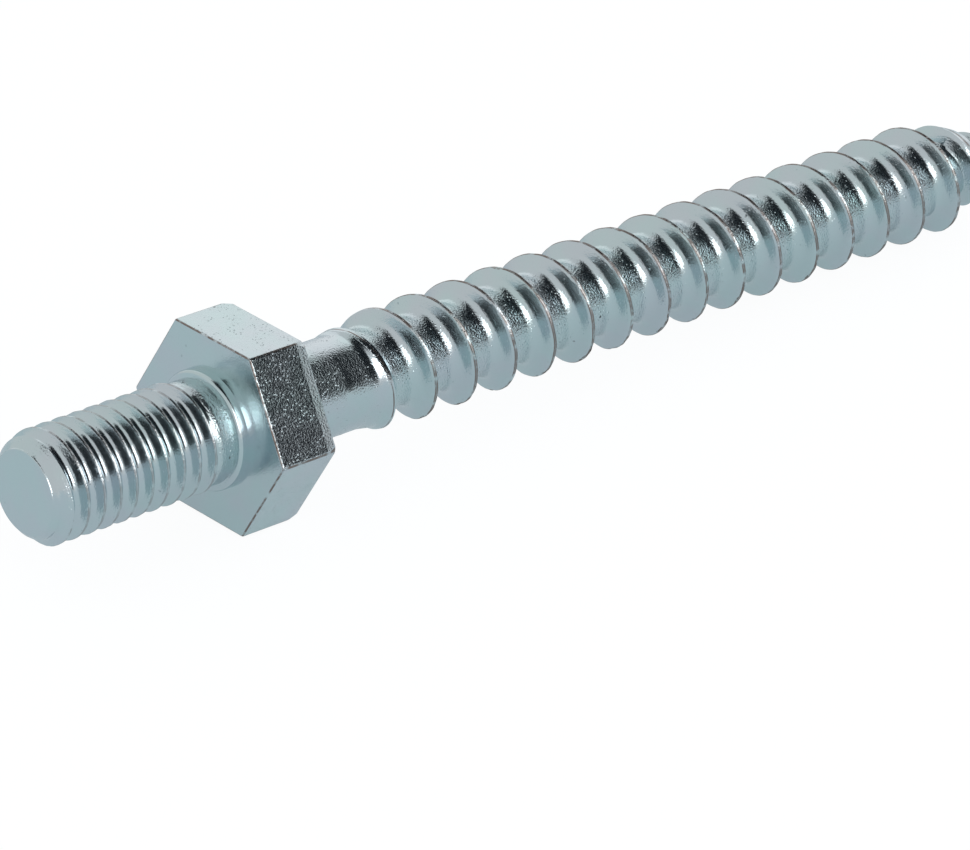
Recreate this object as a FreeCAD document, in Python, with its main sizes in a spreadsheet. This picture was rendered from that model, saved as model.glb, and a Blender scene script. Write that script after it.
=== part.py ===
# Hanger bolt with a hex collar: a machine-threaded stud at one end, a hexagonal
# collar for the spanner, a short plain shank and a coarse wood thread that ends in
# a point. It is one piece of zinc-plated steel.
#
# The bolt is drawn along +X with the stud's end face at X = 0 and one flat of the
# collar on top. The finished body is then laid on the ground as it comes to rest,
# on the collar's lower flat and on the last full crest of the coarse thread.

import FreeCAD, Part
import math
import os

import Sketcher

os.makedirs("parts", exist_ok=True)

doc = FreeCAD.newDocument("hanger_bolt")

# Driving sizes in millimetres, angles in degrees

SIZES = (
    ("overall_length", "70", "stud end to point"),
    ("stud_length", "11.64", "stud end to the collar's front face"),
    ("stud_dia", "5.88", "over the crests of the machine thread, M6"),
    ("end_bevel", "0.8", "bevel round the stud's end face"),
    ("neck_dia", "5.5", "plain run-out between machine thread and ring"),
    ("neck_length", "1.15", "run-out and its ramp, up to the ring"),
    ("neck_ramp", "0.35", "ramp from the thread down to the run-out"),
    ("ring_dia", "6.24", "rounded ring at the foot of the stud"),
    ("ring_length", "0.6", "how far the ring stands off the collar"),
    ("hex_flats", "9.8", "collar across flats, 10 mm spanner"),
    ("hex_thickness", "3.57", "collar front to back"),
    ("hex_bevel_length", "0.6", "bevel along the collar's back edges"),
    ("hex_bevel_depth", "0.15", "how far that bevel draws the flats in"),
    ("hex_clip_length", "0.95", "clip of the back corners, along the bolt"),
    ("hex_clip_depth", "0.38", "clip of the back corners, towards the axis"),
    ("shank_dia", "5.0", "plain shank behind the collar"),
    ("shank_bevel", "0.3", "bevel from the collar's back down to the shank"),
    ("flare_start", "18.9", "the shank starts to widen into the thread here"),
    ("flare_length", "5.0", "length of that widening"),
    ("coarse_dia", "6.22", "over the crests of the wood thread"),
    ("coarse_core_dia", "4.2", "core of the wood thread"),
    ("coarse_pitch", "2.725", "wood thread pitch"),
    ("coarse_crest", "0.2", "width of a wood thread crest"),
    ("coarse_flank_angle", "22.5", "wood thread flank from square to the axis"),
    ("coarse_crest_at", "23.37", "a wood thread crest is on top here"),
    ("coarse_runin_turns", "0.5", "turns over which the groove deepens"),
    ("coarse_runin_lift", "0.85", "how far above the core the groove begins"),
    ("point_length", "7.5", "cone that ends the wood thread"),
    ("point_dia", "0.3", "blunt end of the point"),
    ("core_taper_length", "8.6", "length over which the core narrows"),
    ("bare_tip", "1.6", "end of the cone with no thread on it"),
    ("core_meets_under", "0.05", "the core stays this far under the cone there"),
    ("cutter_clearance", "0.1", "how far the cutting profiles reach past the metal"),
)

sheet = doc.addObject("Spreadsheet::Sheet", "sizes")
for row, (alias, value, meaning) in enumerate(SIZES, start=1):
    sheet.set("A%d" % row, alias)
    sheet.set("B%d" % row, value)
    sheet.set("C%d" % row, meaning)
    sheet.setAlias("B%d" % row, alias)
doc.recompute()

# Places along the bolt that several features share

HEX_FRONT = "sizes.stud_length"
HEX_BACK = "(sizes.stud_length + sizes.hex_thickness)"
HEX_BEVEL_START = "(sizes.stud_length + sizes.hex_thickness - sizes.hex_bevel_length)"
HEX_CORNER = "(sizes.hex_flats / sqrt(3))"
RING_FRONT = "(sizes.stud_length - sizes.ring_length)"
STUD_THREAD_END = "(sizes.stud_length - sizes.ring_length - sizes.neck_length)"
POINT_START = "(sizes.overall_length - sizes.point_length)"
CORE_TAPER_START = "(sizes.overall_length - sizes.core_taper_length)"
CORE_START = "sizes.flare_start"
STUD_END_RADIUS = "(sizes.stud_dia / 2 - sizes.end_bevel)"

body = doc.addObject("PartDesign::Body", "hanger_bolt")
body.Label = "hanger_bolt"


def origin_feature(role):
    for feature in body.Origin.OriginFeatures:
        if feature.Role == role:
            return feature
    raise ValueError("no origin feature " + role)


AXIS = (origin_feature("X_Axis"), [""])


def number(expression):
    return float(sheet.evalExpression(expression))


def new_sketch(name, plane):
    sketch = body.newObject("Sketcher::SketchObject", name)
    sketch.AttachmentSupport = [(origin_feature(plane), "")]
    sketch.MapMode = "FlatFace"
    return sketch


def bind(sketch, constraint, expression):
    index = sketch.addConstraint(constraint)
    sketch.setExpression("Constraints[%d]" % index, expression)


def axial_profile(name, corners, turn="0"):
    """Closed profile in a plane through the axis, its corners as (X, height) expressions.

    turn is the angle of the plane about the axis, from straight up.
    """
    sketch = new_sketch(name, "XZ_Plane")
    places = [FreeCAD.Vector(number(x), number(height), 0) for x, height in corners]
    count = len(corners)
    for index in range(count):
        edge = Part.LineSegment(places[index], places[(index + 1) % count])
        sketch.addGeometry(edge, False)
    for index, (x, height) in enumerate(corners):
        place = places[index]
        sketch.addConstraint(Sketcher.Constraint("Coincident", index, 2, (index + 1) % count, 1))
        bind(sketch, Sketcher.Constraint("DistanceX", -1, 1, index, 1, place.x), x)
        bind(sketch, Sketcher.Constraint("DistanceY", -1, 1, index, 1, place.y), height)
    about_axis = FreeCAD.Rotation(FreeCAD.Vector(1, 0, 0), 0)
    sketch.AttachmentOffset = FreeCAD.Placement(FreeCAD.Vector(), about_axis)
    sketch.setExpression("AttachmentOffset.Rotation.Angle", turn)
    return sketch


def revolve(name, sketch):
    feature = body.newObject("PartDesign::Revolution", name)
    feature.Profile = sketch
    feature.ReferenceAxis = AXIS
    feature.Angle = 360
    body.Tip = feature
    doc.recompute()
    return feature


def helical_cut(name, sketch, turns, pitch, growth):
    """Cut along a right-hand helix; growth is how far the profile moves out per turn."""
    feature = body.newObject("PartDesign::SubtractiveHelix", name)
    feature.Profile = sketch
    feature.ReferenceAxis = AXIS
    feature.Mode = "height-turns-growth"
    feature.HasBeenEdited = True
    feature.setExpression("Turns", turns)
    feature.setExpression("Height", "(%s) * %s" % (turns, pitch))
    feature.setExpression("Growth", growth)
    body.Tip = feature
    doc.recompute()
    return feature


def groove_profile(name, thread, centre, bottom, lift, turn):
    """Section of a thread groove: sloped flanks, narrowest at the bottom radius.

    thread names the sizes to read, bottom is the radius of the profile's lowest edge
    on the finished flanks, and lift moves the whole section outwards.
    """
    half_top = "((sizes.{0}_pitch - sizes.{0}_crest) / 2)".format(thread)
    slope = "tan(sizes.{0}_flank_angle * 1deg)".format(thread)
    outer = "(sizes.{0}_dia / 2)".format(thread)
    half_bottom = "({0} - ({1} - {2}) * {3})".format(half_top, outer, bottom, slope)
    half_outer = "({0} + sizes.cutter_clearance * {1})".format(half_top, slope)
    low = "{0} + {1}".format(bottom, lift)
    high = "{0} + sizes.cutter_clearance + {1}".format(outer, lift)
    return axial_profile(name, (
        ("{0} - {1}".format(centre, half_bottom), low),
        ("{0} + {1}".format(centre, half_bottom), low),
        ("{0} + {1}".format(centre, half_outer), high),
        ("{0} - {1}".format(centre, half_outer), high),
    ), turn)


# Blank: everything that is round, out to the crests of the wood thread

RING_ROUND = "((sizes.ring_dia - sizes.neck_dia) / 2)"
FLARE_RISE = "((sizes.coarse_dia - sizes.shank_dia) / 2)"

blank_sketch = axial_profile("blank_profile", (
    ("0", "0"),
    ("0", STUD_END_RADIUS),
    ("sizes.end_bevel", "sizes.stud_dia / 2"),
    (STUD_THREAD_END, "sizes.stud_dia / 2"),
    (STUD_THREAD_END + " + sizes.neck_ramp", "sizes.neck_dia / 2"),
    (RING_FRONT, "sizes.neck_dia / 2"),
    ("{0} + {1} * (1 - cos(45))".format(RING_FRONT, RING_ROUND),
     "sizes.neck_dia / 2 + {0} * sin(45)".format(RING_ROUND)),
    (RING_FRONT + " + " + RING_ROUND, "sizes.ring_dia / 2"),
    (HEX_FRONT, "sizes.ring_dia / 2"),
    (HEX_BACK, "sizes.shank_dia / 2 + sizes.shank_bevel"),
    (HEX_BACK + " + sizes.shank_bevel", "sizes.shank_dia / 2"),
    ("sizes.flare_start", "sizes.shank_dia / 2"),
    ("sizes.flare_start + sizes.flare_length / 3", "sizes.shank_dia / 2 + {0} * 2 / 9".format(FLARE_RISE)),
    ("sizes.flare_start + sizes.flare_length * 2 / 3", "sizes.shank_dia / 2 + {0} * 7 / 9".format(FLARE_RISE)),
    ("sizes.flare_start + sizes.flare_length", "sizes.coarse_dia / 2"),
    (POINT_START, "sizes.coarse_dia / 2"),
    ("sizes.overall_length", "sizes.point_dia / 2"),
    ("sizes.overall_length", "0"),
))
blank = revolve("blank", blank_sketch)

# Wood thread groove: full depth down to the point, after a run-in that deepens

POINT_SLOPE = "((sizes.coarse_dia - sizes.point_dia) / 2 / sizes.point_length)"
BARE_TIP_RADIUS = "(sizes.point_dia / 2 + sizes.bare_tip * {0})".format(POINT_SLOPE)
COARSE_CORE = "(sizes.coarse_core_dia / 2)"
COARSE_DEEP = "({0} - sizes.core_meets_under - sizes.cutter_clearance)".format(BARE_TIP_RADIUS)
COARSE_FULL_AT = "(sizes.coarse_crest_at - sizes.coarse_pitch / 2)"
COARSE_END = "(sizes.overall_length - sizes.bare_tip)"
COARSE_TURNS = "(({0} - {1}) / sizes.coarse_pitch)".format(COARSE_END, COARSE_FULL_AT)

coarse_sketch = groove_profile("coarse_groove_profile", "coarse", COARSE_FULL_AT, COARSE_DEEP, "0", "0")
coarse_groove = helical_cut("coarse_groove", coarse_sketch, COARSE_TURNS, "sizes.coarse_pitch", "0")

coarse_runin_sketch = groove_profile(
    "coarse_runin_profile", "coarse",
    "({0} - sizes.coarse_runin_turns * sizes.coarse_pitch)".format(COARSE_FULL_AT),
    COARSE_CORE, "sizes.coarse_runin_lift", "-360 * sizes.coarse_runin_turns")
coarse_runin = helical_cut(
    "coarse_runin", coarse_runin_sketch, "sizes.coarse_runin_turns", "sizes.coarse_pitch",
    "-sizes.coarse_runin_lift / sizes.coarse_runin_turns")

# Core of the wood thread, round again, narrowing until it meets the point's cone

core_sketch = axial_profile("coarse_core_profile", (
    (CORE_START, "0"),
    (CORE_START, COARSE_CORE),
    (CORE_TAPER_START, COARSE_CORE),
    (COARSE_END, BARE_TIP_RADIUS + " - sizes.core_meets_under"),
    ("sizes.overall_length - sizes.bare_tip / 4", "0"),
))
coarse_core = revolve("coarse_core", core_sketch)

# Hexagonal collar: straight flats, then the bevel along the back edges


def hexagon(name, offset):
    """Hexagon square to the axis with flats at top and bottom, at X = offset."""
    sketch = new_sketch(name, "YZ_Plane")
    sketch.setExpression("AttachmentOffset.Base.z", offset)
    corner = number(HEX_CORNER)
    corners = [
        FreeCAD.Vector(corner * math.cos(math.radians(60 * side)), corner * math.sin(math.radians(60 * side)), 0)
        for side in range(6)]
    for side in range(6):
        sketch.addGeometry(Part.LineSegment(corners[side], corners[(side + 1) % 6]), False)
    rim = sketch.addGeometry(Part.Circle(FreeCAD.Vector(), FreeCAD.Vector(0, 0, 1), corner), True)
    sketch.addConstraint(Sketcher.Constraint("Coincident", rim, 3, -1, 1))
    bind(sketch, Sketcher.Constraint("Radius", rim, corner), HEX_CORNER)
    for side in range(6):
        sketch.addConstraint(Sketcher.Constraint("Coincident", side, 2, (side + 1) % 6, 1))
        sketch.addConstraint(Sketcher.Constraint("PointOnObject", side, 1, rim))
    for side in range(1, 6):
        sketch.addConstraint(Sketcher.Constraint("Equal", 0, side))
    sketch.addConstraint(Sketcher.Constraint("Horizontal", 1))
    return sketch


def pad(name, sketch, length, taper="0"):
    feature = body.newObject("PartDesign::Pad", name)
    feature.Profile = sketch
    feature.setExpression("Length", length)
    feature.setExpression("TaperAngle", taper)
    body.Tip = feature
    doc.recompute()
    return feature


hex_flats = pad("hex_flats", hexagon("hex_flats_profile", HEX_FRONT),
                "sizes.hex_thickness - sizes.hex_bevel_length")
hex_bevel = pad("hex_bevel", hexagon("hex_bevel_profile", HEX_BEVEL_START), "sizes.hex_bevel_length",
                "-atan(sizes.hex_bevel_depth / sizes.hex_bevel_length)")

# Clip of the collar's back corners: a cone turned off them

clip_sketch = axial_profile("hex_clip_profile", (
    (HEX_BACK + " + sizes.cutter_clearance", HEX_CORNER + " - sizes.hex_clip_depth"),
    (HEX_BACK, HEX_CORNER + " - sizes.hex_clip_depth"),
    (HEX_BACK + " - 2 * sizes.hex_clip_length", HEX_CORNER + " + sizes.hex_clip_depth"),
    (HEX_BACK + " + sizes.cutter_clearance", HEX_CORNER + " + sizes.hex_clip_depth"),
))
hex_clip = body.newObject("PartDesign::Groove", "hex_clip")
hex_clip.Profile = clip_sketch
hex_clip.ReferenceAxis = AXIS
hex_clip.Angle = 360
body.Tip = hex_clip
doc.recompute()

# At rest: turned about Y until the last full crest on the underside meets the ground
# together with the back end of the collar's lower flat, and centred over the origin

LAST_TURN = "(floor(({0} - sizes.coarse_crest_at) / sizes.coarse_pitch - 0.5) + 0.5)".format(POINT_START)
REST_CREST = "(sizes.coarse_crest_at + {0} * sizes.coarse_pitch)".format(LAST_TURN)
REST_DROP = "((sizes.hex_flats - sizes.coarse_dia) / 2)"
REST_TURN = "atan({0} / ({1} - {2}))".format(REST_DROP, REST_CREST, HEX_BEVEL_START)

body.Placement = FreeCAD.Placement(FreeCAD.Vector(), FreeCAD.Rotation(FreeCAD.Vector(0, 1, 0), 1))
body.setExpression("Placement.Rotation.Angle", REST_TURN)
body.setExpression("Placement.Base.x", "-(sizes.overall_length * cos({0})"
                   " + (sizes.point_dia / 2 - {1}) * sin({0})) / 2".format(REST_TURN, STUD_END_RADIUS))
body.setExpression("Placement.Base.z", "{1} * sin({0}) + sizes.hex_flats / 2 * cos({0})".format(
    REST_TURN, HEX_BEVEL_START))
doc.recompute()

for item in doc.Objects:
    if "Invalid" in item.State or "Error" in item.State:
        raise ValueError("did not build: " + item.Name)

if body.Shape.isNull() or not body.Shape.isValid() or len(body.Shape.Solids) != 1:
    raise ValueError("the bolt is not one valid solid")

body.Shape.exportStep("parts/hanger_bolt.step")
box = body.Shape.BoundBox
print("size %.2f x %.2f x %.2f mm, volume %.1f mm3" % (box.XLength, box.YLength, box.ZLength, body.Shape.Volume))
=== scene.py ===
import math

import bmesh
import bpy
from bpy.props import FloatProperty, FloatVectorProperty, IntProperty, PointerProperty
from mathutils import Matrix, Quaternion, Vector, noise


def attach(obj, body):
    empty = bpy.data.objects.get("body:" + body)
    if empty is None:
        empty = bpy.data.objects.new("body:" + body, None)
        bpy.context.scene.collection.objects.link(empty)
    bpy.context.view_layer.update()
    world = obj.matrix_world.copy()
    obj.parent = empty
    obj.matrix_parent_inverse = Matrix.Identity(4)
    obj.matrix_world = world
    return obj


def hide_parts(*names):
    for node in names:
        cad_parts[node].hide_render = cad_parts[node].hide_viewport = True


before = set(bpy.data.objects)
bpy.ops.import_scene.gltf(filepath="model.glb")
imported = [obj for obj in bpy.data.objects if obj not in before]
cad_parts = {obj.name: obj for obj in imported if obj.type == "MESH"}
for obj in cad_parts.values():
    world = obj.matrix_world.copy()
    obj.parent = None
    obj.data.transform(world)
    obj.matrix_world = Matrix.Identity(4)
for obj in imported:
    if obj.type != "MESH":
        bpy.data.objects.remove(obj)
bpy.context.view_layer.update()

bl_info = {
    "name": "Hex-collar hanger bolt",
    "version": (1, 0, 0),
    "blender": (4, 5, 0),
    "location": "3D View > Sidebar > Hanger Bolt",
    "description": "Builds a zinc-plated hanger bolt with a hex collar and a plain studio round it",
    "category": "Add Mesh",
}

MM = 0.001
SEAM = 0.001 * MM
CLEARANCE = 0.004 * MM
RIM_MERGE = 0.03 * MM
FULL_TURN = 2 * math.pi
QUARTER_ROUND = tuple(math.radians(degrees) for degrees in (30, 60, 90))
SMOOTH_BELOW = math.radians(38)


def length(name, description, millimetres):
    return FloatProperty(name=name, description=description, default=millimetres * MM, min=0,
                         subtype="DISTANCE", unit="LENGTH", precision=5)


def angle(name, description, degrees):
    return FloatProperty(name=name, description=description, default=math.radians(degrees),
                         subtype="ANGLE", unit="ROTATION")


def share(name, description, default, highest=1):
    return FloatProperty(name=name, description=description, default=default, min=0, max=highest,
                         subtype="FACTOR")


def colour(name, description, red, green, blue):
    return FloatVectorProperty(name=name, description=description, default=(red, green, blue),
                               min=0, max=1, size=3, subtype="COLOR")


def place(name, description, x, y, z):
    return FloatVectorProperty(name=name, description=description, default=(x * MM, y * MM, z * MM),
                               size=3, subtype="XYZ", unit="LENGTH", precision=5)


class StudSizes(bpy.types.PropertyGroup):
    length: length("Length", "From the end face to the collar", 11.64)
    diameter: length("Outside diameter", "Over the crests of the machine thread", 5.88)
    pitch: length("Pitch", "From one crest to the next", 1.0)
    crest_at: length("Crest position", "A crest is on top this far from the end face", 1.45)
    depth: length("Groove depth", "From crest to the rounded bottom of the groove", 0.52)
    crest: length("Crest width", "Flat width of a crest", 0.15)
    end_bevel: length("End bevel", "Bevel round the end face", 0.8)
    end_round: length("End face rounding", "Rounding between end face and bevel", 0.07)
    neck_diameter: length("Neck diameter", "Run-out between thread and ring", 5.5)
    neck_length: length("Neck length", "Length of the run-out with its ramp", 1.15)
    neck_ramp: length("Neck ramp", "Ramp from the thread down to the neck", 0.35)
    ring_diameter: length("Ring diameter", "Rounded ring at the foot of the stud", 6.24)
    ring_length: length("Ring length", "How far the ring stands off the collar", 0.6)


class CollarSizes(bpy.types.PropertyGroup):
    flats: length("Across flats", "Spanner width of the collar", 9.8)
    thickness: length("Thickness", "Collar front to back", 3.57)
    bevel_length: length("Back bevel length", "Bevel along the back edges", 0.6)
    bevel_depth: length("Back bevel depth", "How far that bevel draws the flats in", 0.07)
    clip_length: length("Corner clip length", "Clip of the back corners, along the bolt", 0.65)
    clip_depth: length("Corner clip depth", "Clip of the back corners, towards the axis", 0.24)
    edge_round: length("Edge rounding", "Width of the worn rounding on every edge", 0.12)


class WoodThreadSizes(bpy.types.PropertyGroup):
    overall: length("Overall length", "Whole bolt, end face to point", 70)
    shank_diameter: length("Shank diameter", "Plain shank behind the collar", 5.0)
    shank_foot: length("Shank foot", "Bevel from the collar's back down to the shank", 0.3)
    flare_start: length("Flare start", "The shank starts to widen here", 18.9)
    flare_length: length("Flare length", "Length of that widening", 5.0)
    diameter: length("Outside diameter", "Over the crests of the wood thread", 6.22)
    core: length("Core diameter", "Bottom of the wood thread's grooves", 4.2)
    pitch: length("Pitch", "From one crest to the next", 2.725)
    crest: length("Crest width", "Width of a rolled crest", 0.2)
    flank: angle("Flank angle", "Slope of the flanks from square to the axis", 22.5)
    crest_at: length("Crest position", "A crest is on top this far from the end face", 23.37)
    run_in_turns: FloatProperty(name="Run-in turns", description="Turns over which the groove deepens",
                                default=0.5, min=0.1)
    run_in_lift: length("Run-in lift", "How far above the core the groove begins", 0.85)
    point_length: length("Point length", "Cone that ends the thread", 7.5)
    point_diameter: length("Point diameter", "Blunt end of the point", 0.3)
    core_taper: length("Core taper", "Length over which the core narrows", 8.6)
    bare_tip: length("Bare tip", "End of the cone with no thread on it", 1.6)
    columns: IntProperty(name="Columns", description="Mesh columns in one turn", default=104, min=16)


class ZincFinish(bpy.types.PropertyGroup):
    plating: colour("Plating", "Blue-grey zinc plating", 0.56, 0.685, 0.70)
    plating_warm: colour("Lavender plating", "Plating where its film is thinner", 0.59, 0.66, 0.70)
    worn_edge: colour("Worn edge", "Brownish bare metal on crests and edges", 0.23, 0.195, 0.18)
    pit: colour("Pits", "Dark specks in the plating", 0.05, 0.055, 0.06)
    smooth: share("Smooth roughness", "Roughness of rolled and stamped surfaces", 0.13)
    rough: share("Rough roughness", "Roughness of drawn flats and of the core", 0.15)
    grit: length("Grit height", "Height of the glittering grain on rough surfaces", 0.03)


class StudioSetup(bpy.types.PropertyGroup):
    floor: colour("Floor", "Pale floor", 0.62, 0.70, 0.76)
    paper: colour("Background", "What the camera sees round the bolt", 1, 1, 1)
    glow: colour("Floor glow", "Pale blue that the floor throws back into the metal", 0.57, 0.62, 0.64)
    flag: colour("Dark card", "Card that puts a dark band on the metal", 0.02, 0.022, 0.025)
    surround: FloatProperty(name="Surround", description="Strength of the plain light from all round",
                            default=0.7, min=0)
    camera_spot: place("Camera place", "Where the camera stands", -197.74, -205.0, 149.72)
    camera_aim: place("Camera aim", "What the middle of the picture shows", -7.02, -2.58, 0.67)
    camera_roll: angle("Camera roll", "Turn of the camera about its view", 1.689)
    camera_lens: FloatProperty(name="Lens", description="Focal length", default=229.95, min=1,
                               subtype="DISTANCE_CAMERA", unit="CAMERA")


def radius_of(point):
    return math.hypot(point.y, point.z)


def set_radius(vert, radius):
    scale = radius / radius_of(vert.co)
    vert.co.y *= scale
    vert.co.z *= scale


def ramp(stations, x):
    """Height at x of a line through (x, height) stations, level past its ends."""
    if x <= stations[0][0]:
        return stations[0][1]
    for (x0, h0), (x1, h1) in zip(stations, stations[1:]):
        if x <= x1:
            return h0 + (h1 - h0) * (x - x0) / (x1 - x0)
    return stations[-1][1]


def ease(low, high, value):
    """Smooth step from 0 at low to 1 at high."""
    t = min(1.0, max(0.0, (value - low) / (high - low)))
    return t * t * (3 - 2 * t)


def grain(point, size, seed=0.0):
    """Smooth noise from -1 to 1, with bumps about as large as size."""
    return noise.noise(point / size + Vector((seed, 0.37 * seed, -seed)))


def new_shell():
    """A mesh under construction, with the shares of wear and of grit on its points."""
    shell = bmesh.new()
    shell.verts.layers.float.new("worn")
    shell.verts.layers.float.new("gritty")
    return shell


def wind(shell, section, pitch, turns, columns):
    """Wind one pitch of a thread's section round the axis.

    section holds (place along the bolt, radius, wear, grit) from one groove to the next.
    """
    worn = shell.verts.layers.float["worn"]
    gritty = shell.verts.layers.float["gritty"]
    line = []
    for x, radius, wear, grit in section:
        vert = shell.verts.new((x, 0, radius))
        vert[worn] = wear
        vert[gritty] = grit
        line.append(vert)
    links = [shell.edges.new(pair) for pair in zip(line, line[1:])]
    bmesh.ops.spin(shell, geom=line + links, cent=(0, 0, 0), axis=(1, 0, 0), dvec=(pitch / columns, 0, 0),
                   angle=FULL_TURN, steps=columns, use_merge=False, use_duplicate=False)
    first_turn = shell.verts[:] + shell.edges[:] + shell.faces[:]
    for turn in range(1, turns):
        copied = bmesh.ops.duplicate(shell, geom=first_turn)["geom"]
        verts = [g for g in copied if isinstance(g, bmesh.types.BMVert)]
        bmesh.ops.translate(shell, verts=verts, vec=(turn * pitch, 0, 0))
    bmesh.ops.remove_doubles(shell, verts=shell.verts, dist=SEAM)


def cut_square(shell, x, keep):
    """Cut the shell square to the axis at x, keep what is ahead (1) or behind (-1), return the loop."""
    bmesh.ops.bisect_plane(shell, geom=shell.verts[:] + shell.edges[:] + shell.faces[:], dist=SEAM / 10,
                           plane_co=(x, 0, 0), plane_no=(-keep, 0, 0), clear_outer=True)
    rim = [v for v in shell.verts if abs(v.co.x - x) < SEAM]
    bmesh.ops.remove_doubles(shell, verts=rim, dist=RIM_MERGE)
    return open_loop(shell, x)


def open_loop(shell, x):
    return [e for e in shell.edges
            if e.is_boundary and all(abs(v.co.x - x) < SEAM for v in e.verts)]


def draw_out(shell, loop, stations, wear=0.0, grit=0.0):
    """Extrude a round edge loop through (x, radius) stations, and return the last loop."""
    worn = shell.verts.layers.float["worn"]
    gritty = shell.verts.layers.float["gritty"]
    for x, radius in stations:
        made = bmesh.ops.extrude_edge_only(shell, edges=loop)["geom"]
        verts = {g for g in made if isinstance(g, bmesh.types.BMVert)}
        loop = [g for g in made if isinstance(g, bmesh.types.BMEdge) and verts.issuperset(g.verts)]
        for vert in verts:
            set_radius(vert, radius)
            vert.co.x = x
            vert[worn] = wear
            vert[gritty] = grit
    return loop


def arc(x, radius, size, start, end, count):
    """Stations on a small arc: centre (x, radius), from start to end degrees, 0 being outwards."""
    turns = [math.radians(start + (end - start) * i / (count - 1)) for i in range(count)]
    return [(x + size * math.sin(t), radius + size * math.cos(t)) for t in turns]


# Machine thread, neck and ring

STUD_GROOVE_POINTS = 12
STUD_GROOVE_POWER = 2.6
STUD_LAP = 0.03 * MM
STUD_TURNS = 14
STUD_TURNS_BEFORE = 3
STUD_WEAR = 0.022 * MM
STUD_WEAR_SIZE = 0.35 * MM
FADE_TURNS = 0.6
NECK_PIT_DEPTH = 0.05 * MM
NECK_PIT_SIZE = 0.28 * MM
END_FLAT_RIM = 0.12 * MM
RING_SINK = 0.05 * MM
RING_STEP = 0.02 * MM
RING_ROUND = 0.22 * MM
RING_FOOT = 0.12 * MM


def stud_section(stud, start):
    """One pitch of the machine thread: a rolled crest with a fine lap, then a rounded groove."""
    outside = stud.diameter / 2
    half = stud.crest / 2
    crest = [(-half, -0.4 * STUD_LAP, 0.9), (-0.6 * half, 0, 0.92), (-0.1 * half, -STUD_LAP, 0.85),
             (0.5 * half, -0.2 * STUD_LAP, 0.92), (half, -0.7 * STUD_LAP, 0.9)]
    points = [(start + offset, outside + lift, wear, 0.5) for offset, lift, wear in crest]
    width = stud.pitch - stud.crest
    groove = []
    for i in range(1, STUD_GROOVE_POINTS):
        t = i / STUD_GROOVE_POINTS
        drop = stud.depth * (1 - abs(2 * t - 1) ** STUD_GROOVE_POWER)
        groove.append((start + half + width * t, outside - drop, 0, 0.12))
    middle = len(groove) // 2
    before = [(x - stud.pitch, radius, wear, grit) for x, radius, wear, grit in groove[middle:]]
    return before + points + groove[:middle + 1]


def cut_stud(shell, stud, columns):
    """The threaded stud from its end face to the ring's foot; returns the loop at the collar."""
    outside, neck, ring = stud.diameter / 2, stud.neck_diameter / 2, stud.ring_diameter / 2
    thread_end = stud.length - stud.ring_length - stud.neck_length
    ring_front = stud.length - stud.ring_length
    blank = [(0, outside - stud.end_bevel), (0.35 * stud.end_bevel, outside - 0.58 * stud.end_bevel),
             (stud.end_bevel, outside), (thread_end, outside),
             (thread_end + stud.neck_ramp, neck), (ring_front, neck)]
    fade_start = thread_end - FADE_TURNS * stud.pitch
    bottom = [(fade_start, outside - stud.depth), (thread_end + stud.neck_ramp, neck)]
    start = stud.crest_at - STUD_TURNS_BEFORE * stud.pitch
    wind(shell, stud_section(stud, start), stud.pitch, STUD_TURNS, columns)
    worn = shell.verts.layers.float["worn"]
    gritty = shell.verts.layers.float["gritty"]
    for vert in shell.verts:
        x = vert.co.x
        radius = radius_of(vert.co)
        crest = vert[worn]
        if crest > 0:
            radius -= STUD_WEAR * (1 + grain(vert.co, STUD_WEAR_SIZE, 3.0)) * crest
        if x > fade_start:
            radius = max(radius, ramp(bottom, x))
        limit = ramp(blank, x)
        if x > thread_end + 0.5 * stud.neck_ramp:
            vert[gritty] = 1.0
            pits = NECK_PIT_DEPTH * max(0.0, grain(vert.co, NECK_PIT_SIZE, 9.0) - 0.05)
            radius = min(radius, limit) - pits
            vert[worn] = 0.25
        elif radius > limit:
            vert[worn] *= 0.35
        set_radius(vert, max(0.2 * MM, min(radius, limit)))
    end = cut_square(shell, stud.end_round, 1)
    face_radius = radius_of(end[0].verts[0].co)
    rounding = [(CLEARANCE + (stud.end_round - CLEARANCE) * (1 - math.sin(t)),
                 face_radius - stud.end_round * (1 - math.cos(t))) for t in QUARTER_ROUND]
    end = draw_out(shell, end, rounding, wear=0.7, grit=0.3)
    flat = [(CLEARANCE, radius) for radius in
            (face_radius - END_FLAT_RIM, 0.5 * face_radius, 0.1 * face_radius)]
    end = draw_out(shell, end, flat, grit=0.08)
    bmesh.ops.edgeloop_fill(shell, edges=end)
    foot = cut_square(shell, ring_front - RING_SINK, -1)
    shoulder = [(ring_front, neck), (ring_front + RING_STEP, neck + 0.3 * (ring - neck))]
    foot = draw_out(shell, foot, shoulder, wear=0.1, grit=0.4)
    bulge = arc(ring_front + RING_STEP + RING_ROUND, ring - RING_ROUND, RING_ROUND, -75, 0, 6)
    foot = draw_out(shell, foot, bulge, wear=0.0, grit=0.05)
    return draw_out(shell, foot, [(stud.length - RING_FOOT, ring), (stud.length, ring - RING_STEP)],
                    wear=0.0, grit=0.05)


# Wood thread, flare, shank and point

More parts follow.
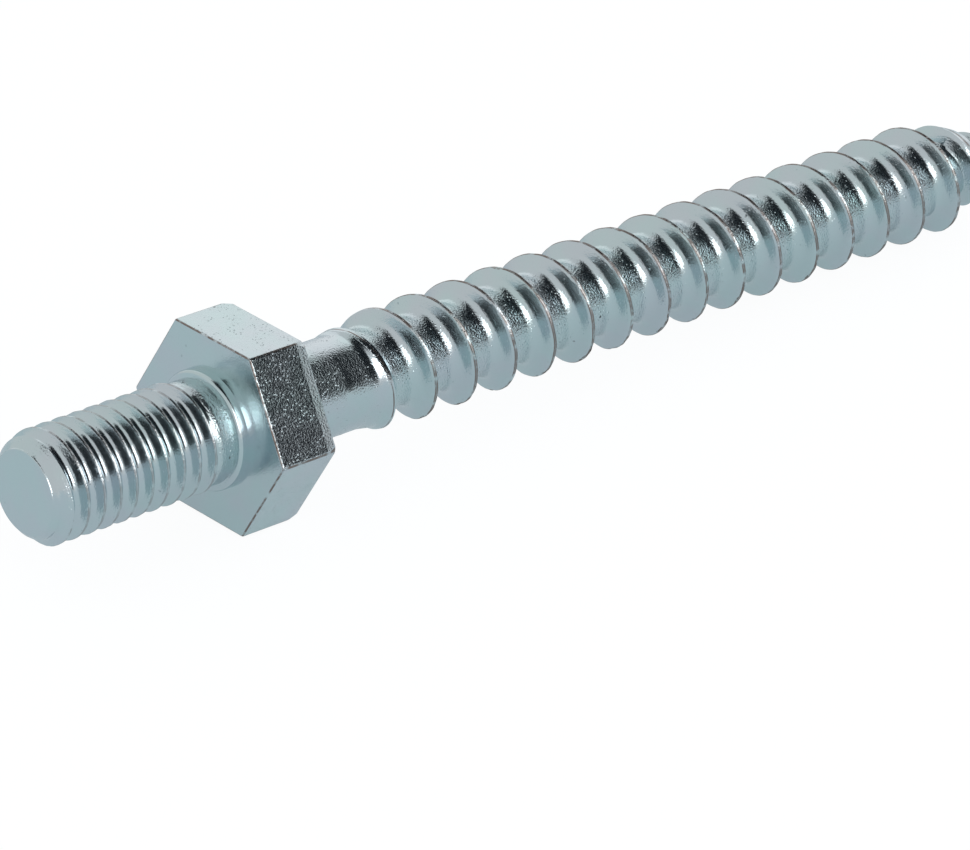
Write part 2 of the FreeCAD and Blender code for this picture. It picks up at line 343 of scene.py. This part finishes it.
FLANK_POINTS = 6
FILLET_POINTS = 5
FLOOR_POINTS = 3
ROOT_FILLET = 0.7 * MM
WOOD_LAP = 0.045 * MM
FLARE_POINTS = 12
FIRST_STEP = 0.12 * MM
FIRST_STEP_RISE = 0.45 * MM
FIRST_STEP_FADE = (1.5 * MM, 2.6 * MM)
WOOD_WEAR = 0.028 * MM
WOOD_WEAR_SIZE = 0.5 * MM
WOOD_SWAY = 0.035 * MM
WOOD_SWAY_SIZE = 0.9 * MM
CORE_UNEVEN = 0.006 * MM
CORE_UNEVEN_SIZE = 0.45 * MM
CORE_SINK = (0.03 * MM, 0.02 * MM)
SHANK_RINGS = 7
TIP_ENDS = (0.12 * MM, 0.04 * MM)
# Nicks in the crest: turns past the crest position, depth and width in millimetres.
NICKS = ((-0.84, 0.2, 0.9), (0.36, 0.10, 0.16), (1.37, 0.12, 0.22), (2.41, 0.08, 0.12),
         (3.36, 0.20, 0.28), (4.34, 0.24, 0.22), (5.38, 0.18, 0.30), (6.33, 0.16, 0.24),
         (7.36, 0.15, 0.18), (8.31, 0.09, 0.25), (2.93, 0.09, 0.16), (5.95, 0.08, 0.14),
         (9.64, 0.08, 0.2), (11.55, 0.07, 0.2), (4.71, 0.07, 0.15), (10.33, 0.08, 0.2))


def wood_section(wood, start):
    """One pitch of the wood thread: a lapped crest between hollow flanks, and a level core."""
    outside, core = wood.diameter / 2, wood.core / 2
    half = wood.crest / 2
    slope = math.tan(wood.flank)
    crest = [(-half, -0.03 * MM, 1), (-0.65 * half, -CLEARANCE, 1), (-0.15 * half, -WOOD_LAP, 0.9),
             (0.4 * half, -0.012 * MM, 1), (half, -0.035 * MM, 1)]
    reach = (outside - core) * slope
    open_angle = math.radians(90) - wood.flank
    tangent = ROOT_FILLET * math.tan(open_angle / 2)
    lowest = 1 - tangent * math.cos(wood.flank) / (outside - core)
    side = []
    for i in range(1, FLANK_POINTS + 1):
        t = lowest * i / FLANK_POINTS
        side.append((half + reach * t, outside - (outside - core) * t, 0.0, 0.15))
    side[0] = (side[0][0], side[0][1], 0.25, 0.2)
    root = half + reach + tangent
    fillet = []
    for i in range(1, FILLET_POINTS + 1):
        turn = open_angle * (1 - i / FILLET_POINTS)
        grit = 0.15 + 0.85 * (i / FILLET_POINTS) ** 2
        radius = core + ROOT_FILLET * (1 - math.cos(turn))
        fillet.append((root - ROOT_FILLET * math.sin(turn), radius, 0, grit))
    middle = wood.pitch / 2
    level = [(root + (middle - root) * i / FLOOR_POINTS, core, 0, 1.0)
             for i in range(1, FLOOR_POINTS + 1)]
    after = side + fillet + level
    before = [(-x, radius, wear, grit) for x, radius, wear, grit in reversed(after)]
    points = [(x, outside + lift, wear, 0.6) for x, lift, wear in crest]
    return [(start + x, radius, wear, grit) for x, radius, wear, grit in before + points + after]


def cut_wood_end(shell, collar_back, wood):
    """The wood thread with its flare and point; returns the loop at the collar's back."""
    outside, core, shank = wood.diameter / 2, wood.core / 2, wood.shank_diameter / 2
    rise = outside - shank
    point_start = wood.overall - wood.point_length
    cone = (outside - wood.point_diameter / 2) / wood.point_length
    tip_start = wood.overall - wood.bare_tip
    tip_radius = wood.point_diameter / 2 + wood.bare_tip * cone
    flare = [(wood.flare_start + wood.flare_length * t / FLARE_POINTS,
              shank + rise * ease(0, FLARE_POINTS, t)) for t in range(FLARE_POINTS + 1)]
    blank = flare + [(point_start, outside), (wood.overall, wood.point_diameter / 2)]
    floor = [(wood.overall - wood.core_taper, core), (tip_start, tip_radius - CORE_SINK[0]),
             (wood.overall, wood.point_diameter / 2)]
    first = math.ceil((wood.crest_at - wood.flare_start) / wood.pitch) + 1
    turns = math.ceil((wood.overall - wood.crest_at) / wood.pitch) + first + 1
    start = wood.crest_at - first * wood.pitch
    wind(shell, wood_section(wood, start), wood.pitch, turns, wood.columns)
    worn = shell.verts.layers.float["worn"]
    gritty = shell.verts.layers.float["gritty"]
    run_in = wood.run_in_turns * wood.pitch
    full_at = wood.crest_at - wood.pitch / 2
    for vert in shell.verts:
        x = vert.co.x
        along = (x - wood.crest_at) / wood.pitch - math.atan2(-vert.co.y, vert.co.z) / FULL_TURN
        groove_at = x - (along - math.floor(along) - 0.5) * wood.pitch
        lift = wood.run_in_lift * min(1.0, max(0.0, (full_at - groove_at) / run_in))
        if groove_at < full_at - run_in:
            lift = outside
        from_crest = wood.pitch / 2 - abs(x - groove_at) - wood.crest / 2
        flank_radius = outside - from_crest / math.tan(wood.flank)
        sunk = max(0.0, core - max(flank_radius, ramp(floor, x)))
        radius = radius_of(vert.co) + lift - sunk
        crest = vert[worn]
        if crest > 0.3:
            turn = (x - wood.crest_at) / wood.pitch
            nick = sum(deep * math.exp(-((turn - at) * FULL_TURN * outside / MM / wide) ** 2)
                       for at, deep, wide in NICKS)
            ripple = 0.5 * (1 + grain(vert.co, WOOD_WEAR_SIZE, 5.0))
            radius -= WOOD_WEAR * ripple + nick * MM
            vert.co.x += WOOD_SWAY * grain(vert.co, WOOD_SWAY_SIZE, 2.0)
        if vert[gritty] > 0.5 and lift < outside:
            radius += CORE_UNEVEN * grain(vert.co, CORE_UNEVEN_SIZE, 7.0) * vert[gritty]
        limit = ramp(blank, x)
        if lift == outside:
            ahead = groove_at + wood.pitch / 2 - x
            limit -= FIRST_STEP * ease(0, FIRST_STEP_RISE, ahead) * (1 - ease(*FIRST_STEP_FADE, ahead))
            limit = max(shank, limit)
            vert[worn] *= 0.15
        if radius > limit:
            vert[gritty] = min(vert[gritty], 0.6) if x < point_start else vert[gritty]
        radius = max(min(radius, limit), min(limit, ramp(floor, x) - CORE_SINK[1]))
        set_radius(vert, radius)
    front = cut_square(shell, wood.flare_start - 0.1 * MM, 1)
    back = collar_back + wood.shank_foot
    plain = [(wood.flare_start + (back - wood.flare_start) * i / SHANK_RINGS, shank)
             for i in range(1, SHANK_RINGS + 1)]
    front = draw_out(shell, front, plain, grit=0.75)
    foot = [(collar_back + wood.shank_foot * (1 - math.sin(t)),
             shank + wood.shank_foot * (1 - math.cos(t))) for t in QUARTER_ROUND]
    front = draw_out(shell, front, foot, wear=0.1, grit=0.6)
    tip = cut_square(shell, wood.overall - TIP_ENDS[0], -1)
    end_radius = wood.point_diameter / 2
    tip = draw_out(shell, tip, [(wood.overall - TIP_ENDS[1], 0.8 * end_radius),
                                (wood.overall, 0.4 * end_radius)], wear=0.6, grit=0.3)
    bmesh.ops.edgeloop_fill(shell, edges=tip)
    return front


# Hexagonal collar

CLIP_TURNS = (-2.8, 0, 2.8)
SHARP = math.radians(8)
EDGE_STEPS = 4


def extend(shell, face, step, scale):
    """Extrude a face along the bolt, scale it about the axis and return it."""
    made = bmesh.ops.extrude_face_region(shell, geom=[face])["geom"]
    verts = [g for g in made if isinstance(g, bmesh.types.BMVert)]
    bmesh.ops.translate(shell, verts=verts, vec=(step, 0, 0))
    bmesh.ops.scale(shell, verts=verts, vec=(1, scale, scale))
    return next(g for g in made if isinstance(g, bmesh.types.BMFace))


def forge_collar(collar, front):
    """The collar as a hexagon without end faces: back bevel, worn edges, clipped back corners."""
    shell = new_shell()
    corner = collar.flats / math.sqrt(3)
    back = front + collar.thickness
    upright = Matrix.Translation((front, 0, 0)) @ Matrix.Rotation(math.radians(90), 4, "Y")
    bmesh.ops.create_circle(shell, cap_ends=True, segments=6, radius=corner, matrix=upright)
    shell.faces.ensure_lookup_table()
    drawn_in = 1 - 2 * collar.bevel_depth / collar.flats
    bevel_start = extend(shell, shell.faces[0], collar.thickness - collar.bevel_length, 1)
    extend(shell, bevel_start, collar.bevel_length, drawn_in)
    bmesh.ops.delete(shell, geom=[bevel_start], context="FACES_ONLY")
    bmesh.ops.recalc_face_normals(shell, faces=shell.faces)
    edges = [e for e in shell.edges if e.calc_face_angle(0) > SHARP]
    made = bmesh.ops.bevel(shell, geom=edges, offset=collar.edge_round, offset_type="OFFSET",
                           segments=EDGE_STEPS, profile=0.5, affect="EDGES", clamp_overlap=True,
                           material=-1)
    rounded = set(made["faces"])
    worn = shell.verts.layers.float["worn"]
    gritty = shell.verts.layers.float["gritty"]
    for face in shell.faces:
        face.smooth = face in rounded
    for vert in shell.verts:
        amid_rounding = rounded.issuperset(vert.link_faces)
        on_end = any(abs(f.normal.x) > 0.99 for f in vert.link_faces if f not in rounded)
        vert[worn] = 1.0 if amid_rounding else 0.0
        vert[gritty] = 0.12 if on_end else 0.8
    clip_corners(shell, collar, back)
    ends = [f for f in shell.faces if abs(f.normal.x) > 0.99 and min(
        abs(f.calc_center_median().x - x) for x in (front, back)) < SEAM]
    bmesh.ops.delete(shell, geom=ends, context="FACES_ONLY")
    return shell


def clip_corners(shell, collar, back):
    """Cut the back corners off along a cone, in narrow flat steps, and close each cut."""
    slope = collar.clip_depth / collar.clip_length
    rim = collar.flats / math.sqrt(3) - collar.clip_depth
    for side in range(6):
        for turn in CLIP_TURNS:
            at = math.radians(60 * side + turn)
            out = Vector((0, math.cos(at), math.sin(at)))
            cut = bmesh.ops.bisect_plane(shell, geom=shell.verts[:] + shell.edges[:] + shell.faces[:],
                                         dist=SEAM / 10, plane_co=Vector((back, 0, 0)) + out * rim,
                                         plane_no=Vector((slope, 0, 0)) + out, clear_outer=True)
            edges = [g for g in cut["geom_cut"] if isinstance(g, bmesh.types.BMEdge) and g.is_boundary]
            bmesh.ops.holes_fill(shell, edges=edges, sides=0)


def join_shell(shell, part):
    """Put another shell into this one."""
    carrier = bpy.data.meshes.new("carrier")
    part.to_mesh(carrier)
    part.free()
    shell.from_mesh(carrier)
    bpy.data.meshes.remove(carrier)


def close_end(shell, x):
    """Fill the flat ring between the collar's outline and the round part that stands on it."""
    made = bmesh.ops.triangle_fill(shell, edges=open_loop(shell, x), use_beauty=True, use_dissolve=False)
    for face in made["geom"]:
        if isinstance(face, bmesh.types.BMFace):
            face.smooth = False


def resting_place(stud, collar, wood):
    """Where the bolt lies: on the collar's lower flat and on the last full crest."""
    bevel_start = stud.length + collar.thickness - collar.bevel_length
    point_start = wood.overall - wood.point_length
    last = math.floor((point_start - wood.crest_at) / wood.pitch - 0.5) + 0.5
    crest = wood.crest_at + last * wood.pitch
    tilt = math.atan((collar.flats - wood.diameter) / 2 / (crest - bevel_start))
    face_radius = stud.diameter / 2 - stud.end_bevel
    x = -(wood.overall * math.cos(tilt) + (wood.point_diameter / 2 - face_radius) * math.sin(tilt)) / 2
    z = bevel_start * math.sin(tilt) + collar.flats / 2 * math.cos(tilt)
    return Matrix.Translation((x, 0, z)) @ Matrix.Rotation(tilt, 4, "Y")


def build_bolt(stud, collar, wood):
    """The whole bolt as one closed shell, lying at its resting place."""
    front, back = stud.length, stud.length + collar.thickness
    shell = new_shell()
    cut_stud(shell, stud, wood.columns)
    end = new_shell()
    cut_wood_end(end, back, wood)
    for face in list(shell.faces) + list(end.faces):
        face.smooth = True
    join_shell(shell, end)
    join_shell(shell, forge_collar(collar, front))
    close_end(shell, front)
    close_end(shell, back)
    bmesh.ops.recalc_face_normals(shell, faces=shell.faces)
    for edge in shell.edges:
        edge.smooth = edge.calc_face_angle(0) < SMOOTH_BELOW
    bmesh.ops.transform(shell, matrix=resting_place(stud, collar, wood), verts=shell.verts)
    return shell


# Zinc plating

CLOUD_SIZE = 3.0 * MM
PATCH_SIZE = 0.8 * MM
FINE_SIZE = 0.09 * MM
CELL_SIZE = 0.11 * MM
GLINT_SIZE = 0.18 * MM
SPECK_SIZE = 0.6 * MM
BARE_SIZE = 0.5 * MM


class Wire:
    """A socket that can stand in a sum: each operator adds its Math node."""

    def __init__(self, bench, socket):
        self.bench = bench
        self.socket = socket

    def math(self, operation, other):
        return self.bench.add("ShaderNodeMath", {0: self, 1: other}, operation=operation)

    def __add__(self, other):
        return self.math("ADD", other)

    def __mul__(self, other):
        return self.math("MULTIPLY", other)

    def __sub__(self, other):
        return self.math("SUBTRACT", other)

    def __rsub__(self, other):
        return self.bench.add("ShaderNodeMath", {0: other, 1: self}, operation="SUBTRACT")

    __radd__ = __add__
    __rmul__ = __mul__

    def step(self, low, high):
        """0 below low, 1 above high, smooth between them; low may be above high."""
        inputs = {"Value": self, "From Min": low, "From Max": high}
        return self.bench.add("ShaderNodeMapRange", inputs, interpolation_type="SMOOTHSTEP")


class Bench:
    """A material's or world's node tree being wired."""

    def __init__(self, owner):
        owner.use_nodes = True
        self.tree = owner.node_tree
        self.tree.nodes.clear()

    def plug(self, socket, value):
        if isinstance(value, Wire):
            self.tree.links.new(value.socket, socket)
        else:
            socket.default_value = value

    def add(self, kind, inputs=None, output=0, stops=None, **settings):
        """Add a node: its settings first, then its ramp's stops, then its sockets."""
        node = self.tree.nodes.new(kind)
        for name, value in settings.items():
            setattr(node, name, value)
        for index, (at, tint) in enumerate(stops or ()):
            stop = node.color_ramp.elements[index] if index < 2 else node.color_ramp.elements.new(at)
            stop.position = at
            stop.color = tint
        for name, value in (inputs or {}).items():
            self.plug(node.inputs[name], value)
        return Wire(self, node.outputs[output])

    def noise(self, point, size, detail=2.0, roughness=0.5):
        inputs = {"Vector": point, "Scale": 1 / size, "Detail": detail, "Roughness": roughness}
        return self.add("ShaderNodeTexNoise", inputs)

    def cells(self, point, size):
        """Distance to the middle of the nearest cell, 0 in its middle."""
        return self.add("ShaderNodeTexVoronoi", {"Vector": point, "Scale": 1 / size}, feature="F1")

    def blend(self, factor, low, high):
        """Colour mix from low to high."""
        return self.add("ShaderNodeMix", {0: factor, 6: low, 7: high}, output=2, data_type="RGBA")

    def finish(self, surface, kind="ShaderNodeOutputMaterial"):
        self.tree.links.new(surface.socket, self.tree.nodes.new(kind).inputs["Surface"])

    def attribute(self, name):
        return self.add("ShaderNodeAttribute", output="Fac", attribute_name=name,
                        attribute_type="GEOMETRY")


def opaque(tint):
    return (*tint, 1.0)


def plate(finish):
    """Zinc plating: a pale blue-grey film, glittering grain, worn crests and dark pits."""
    material = bpy.data.materials.new("zinc_plated_steel")
    bench = Bench(material)
    point = bench.add("ShaderNodeTexCoord", output="Object")
    worn = bench.attribute("worn")
    gritty = bench.attribute("gritty")
    clouds = bench.noise(point, CLOUD_SIZE, 3.0)
    patches = bench.noise(point, PATCH_SIZE)
    fine = bench.noise(point, FINE_SIZE, 2.0, 0.6)
    cells = bench.cells(point, CELL_SIZE)
    grains = bench.cells(point, GLINT_SIZE)
    specks = bench.cells(point, SPECK_SIZE)
    pits = specks.step(0.16, 0.08) * patches.step(0.6, 0.68) * (gritty * 0.8 + 0.2)
    bare = worn.step(0.8, 1.0) * bench.noise(point, BARE_SIZE, 3.0).step(0.28, 0.55)
    tint = bench.blend(clouds.step(0.35, 0.65), opaque(finish.plating), opaque(finish.plating_warm))
    tint = bench.blend(bare, tint, opaque(finish.worn_edge))
    tint = bench.blend(pits, tint, opaque(finish.pit))
    roughness = finish.smooth + gritty * (finish.rough - finish.smooth) + patches * 0.08 + bare * 0.12
    glints = grains.step(0.3, 0.04) * patches.step(0.42, 0.55)
    height = (cells * 0.4 + fine * 0.65 + glints * 0.9) * (gritty + 0.04) + patches * 0.12 - pits * 0.8
    bump = bench.add("ShaderNodeBump", {"Height": height, "Distance": finish.grit, "Strength": 1.0})
    inputs = {"Base Color": tint, "Metallic": 1.0, "Roughness": roughness, "Normal": bump}
    bench.finish(bench.add("ShaderNodeBsdfPrincipled", inputs))
    return material


# Studio

FLOOR_HALF = 3.0
PAPER_STRENGTH = 1.07
PAPER_SHARE = 0.87
GLOW_SHARE = 0.6
CARD_TURNS = (math.radians(-20), math.radians(84))
CARD_NEAREST = (-0.6, 0.28)
CARD_FARTHEST = 0.74
CARD_DISTANCE = 0.6
# Lamps: direction from the bolt, distance, width and height in metres, brightness.
LAMPS = {
    "front_softbox": ((-0.32, -0.82, 0.48), 0.6, 0.4, 0.36, 2.4),
    "back_softbox": ((0.6, 0.7, 0.37), 0.6, 0.8, 0.6, 0.27),
}


def lay_floor(setup):
    """A wide pale floor that keeps the bolt's soft shadow."""
    material = bpy.data.materials.new("pale_floor")
    bench = Bench(material)
    matt = bench.add("ShaderNodeBsdfDiffuse", {"Color": opaque(setup.floor)})
    seen = bench.add("ShaderNodeLightPath", output="Is Camera Ray")
    mirrored = bench.add("ShaderNodeLightPath", output="Is Glossy Ray")
    shine = bench.blend(seen, opaque(setup.glow), opaque(setup.paper))
    paper = bench.add("ShaderNodeEmission", {"Color": shine, "Strength": PAPER_STRENGTH})
    own_light = seen * PAPER_SHARE + mirrored * GLOW_SHARE
    bench.finish(bench.add("ShaderNodeMixShader", {0: own_light, 1: matt, 2: paper}))
    shell = bmesh.new()
    bmesh.ops.create_grid(shell, x_segments=4, y_segments=4, size=FLOOR_HALF)
    floor = add_object("floor", shell, material)


def hang_card(name, turns, nearest, farthest, distance, tint):
    """A card bent round the bolt, that only shows in reflections.

    It reaches from the first of turns to the second, from straight up towards the camera's
    side, and along the bolt from nearest, at each of its ends, to farthest.
    """
    material = bpy.data.materials.new(name)
    bench = Bench(material)
    bench.finish(bench.add("ShaderNodeBsdfDiffuse", {"Color": opaque(tint)}))
    shell = bmesh.new()
    bmesh.ops.create_grid(shell, x_segments=24, y_segments=16, size=0.5)
    for vert in shell.verts:
        round_it, along_it = vert.co.x + 0.5, vert.co.y + 0.5
        turn = turns[0] + (turns[1] - turns[0]) * round_it
        near = nearest[0] + (nearest[1] - nearest[0]) * round_it
        x = near + (farthest - near) * along_it
        side = math.sqrt(1 - x * x)
        vert.co = Vector((x, -side * math.sin(turn), side * math.cos(turn))) * distance
    card = add_object(name, shell, material)
    card.visible_camera = False
    card.visible_diffuse = False
    card.visible_shadow = False


def hang_softbox(name, towards, distance, width, height, brightness):
    """A soft lamp facing the bolt; brightness 1 looks white."""
    data = bpy.data.lights.new(name, "AREA")
    data.shape = "RECTANGLE"
    data.size = width
    data.size_y = height
    data.energy = brightness * math.pi * width * height
    lamp = bpy.data.objects.new(name, data)
    out = Vector(towards).normalized()
    facing = out.to_track_quat("Z", "Y").to_matrix().to_4x4()
    lamp.matrix_world = Matrix.Translation(out * distance) @ facing
    lamp.visible_camera = False
    bpy.context.scene.collection.objects.link(lamp)


def set_surround(setup):
    """Plain light from all round, and the white background."""
    world = bpy.data.worlds.new("surround")
    bpy.context.scene.world = world
    bench = Bench(world)
    plain = bench.add("ShaderNodeBackground", {"Color": opaque(setup.paper), "Strength": setup.surround})
    paper = bench.add("ShaderNodeBackground", {"Color": opaque(setup.paper), "Strength": 1.0})
    camera = bench.add("ShaderNodeLightPath", output="Is Camera Ray")
    shown = bench.add("ShaderNodeMixShader", {0: camera, 1: plain, 2: paper})
    bench.finish(shown, "ShaderNodeOutputWorld")


def set_camera(setup):
    data = bpy.data.cameras.new("camera")
    data.lens = setup.camera_lens
    data.sensor_width = 36
    data.clip_start, data.clip_end = 0.01, 20
    camera = bpy.data.objects.new("camera", data)
    bpy.context.scene.collection.objects.link(camera)
    spot, aim = Vector(setup.camera_spot), Vector(setup.camera_aim)
    turn = Quaternion(aim - spot, -setup.camera_roll) @ (aim - spot).to_track_quat("-Z", "Y")
    camera.matrix_world = Matrix.Translation(spot) @ turn.to_matrix().to_4x4()
    bpy.context.scene.camera = camera


def add_object(name, shell, material):
    mesh = bpy.data.meshes.new(name)
    shell.to_mesh(mesh)
    shell.free()
    mesh.materials.append(material)
    made = bpy.data.objects.new(name, mesh)
    bpy.context.scene.collection.objects.link(made)
    return made


class MESH_OT_hanger_bolt_piece(bpy.types.Operator):
    """Build the zinc-plated bolt: stud, collar, shank and wood thread in one piece"""

    bl_idname = "mesh.hanger_bolt_piece"
    bl_label = "Hanger Bolt"

    def execute(self, context):
        scene = context.scene
        shell = build_bolt(scene.bolt_stud, scene.bolt_collar, scene.bolt_wood_thread)
        bolt = add_object("plated_bolt", shell, plate(scene.bolt_finish))
        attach(bolt, "root")
        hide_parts("hanger_bolt")
        return {"FINISHED"}


class SCENE_OT_hanger_bolt_studio(bpy.types.Operator):
    """Set the pale floor, the soft lamps, the dark card and the camera"""

    bl_idname = "scene.hanger_bolt_studio"
    bl_label = "Plain Studio"

    def execute(self, context):
        setup = context.scene.bolt_studio
        lay_floor(setup)
        set_surround(setup)
        hang_card("dark_card", CARD_TURNS, CARD_NEAREST, CARD_FARTHEST, CARD_DISTANCE, setup.flag)
        for name, (towards, distance, width, height, brightness) in LAMPS.items():
            hang_softbox(name, towards, distance, width, height, brightness)
        set_camera(setup)
        context.scene.view_settings.view_transform = "Standard"
        return {"FINISHED"}


class VIEW3D_PT_hanger_bolt(bpy.types.Panel):
    """Sizes, finish and studio of the hanger bolt"""

    bl_idname = "VIEW3D_PT_hanger_bolt"
    bl_label = "Hanger Bolt"
    bl_space_type = "VIEW_3D"
    bl_region_type = "UI"
    bl_category = "Hanger Bolt"

    def draw(self, context):
        for operator, groups in PANEL_ROWS:
            box = self.layout.box()
            for group in groups:
                settings = getattr(context.scene, group)
                for name in settings.bl_rna.properties.keys():
                    if name not in ("rna_type", "name"):
                        box.prop(settings, name)
            box.operator(operator)


PANEL_ROWS = (
    ("mesh.hanger_bolt_piece", ("bolt_stud", "bolt_collar", "bolt_wood_thread", "bolt_finish")),
    ("scene.hanger_bolt_studio", ("bolt_studio",)),
)
GROUPS = {"bolt_stud": StudSizes, "bolt_collar": CollarSizes, "bolt_wood_thread": WoodThreadSizes,
          "bolt_finish": ZincFinish, "bolt_studio": StudioSetup}
CLASSES = (*GROUPS.values(), MESH_OT_hanger_bolt_piece, SCENE_OT_hanger_bolt_studio,
           VIEW3D_PT_hanger_bolt)


def register():
    for cls in CLASSES:
        bpy.utils.register_class(cls)
    for name, group in GROUPS.items():
        setattr(bpy.types.Scene, name, PointerProperty(type=group))


def unregister():
    for name in GROUPS:
        delattr(bpy.types.Scene, name)
    for cls in reversed(CLASSES):
        bpy.utils.unregister_class(cls)


def main():
    register()
    bpy.ops.mesh.hanger_bolt_piece()
    bpy.ops.scene.hanger_bolt_studio()


if __name__ == "__main__":
    main()
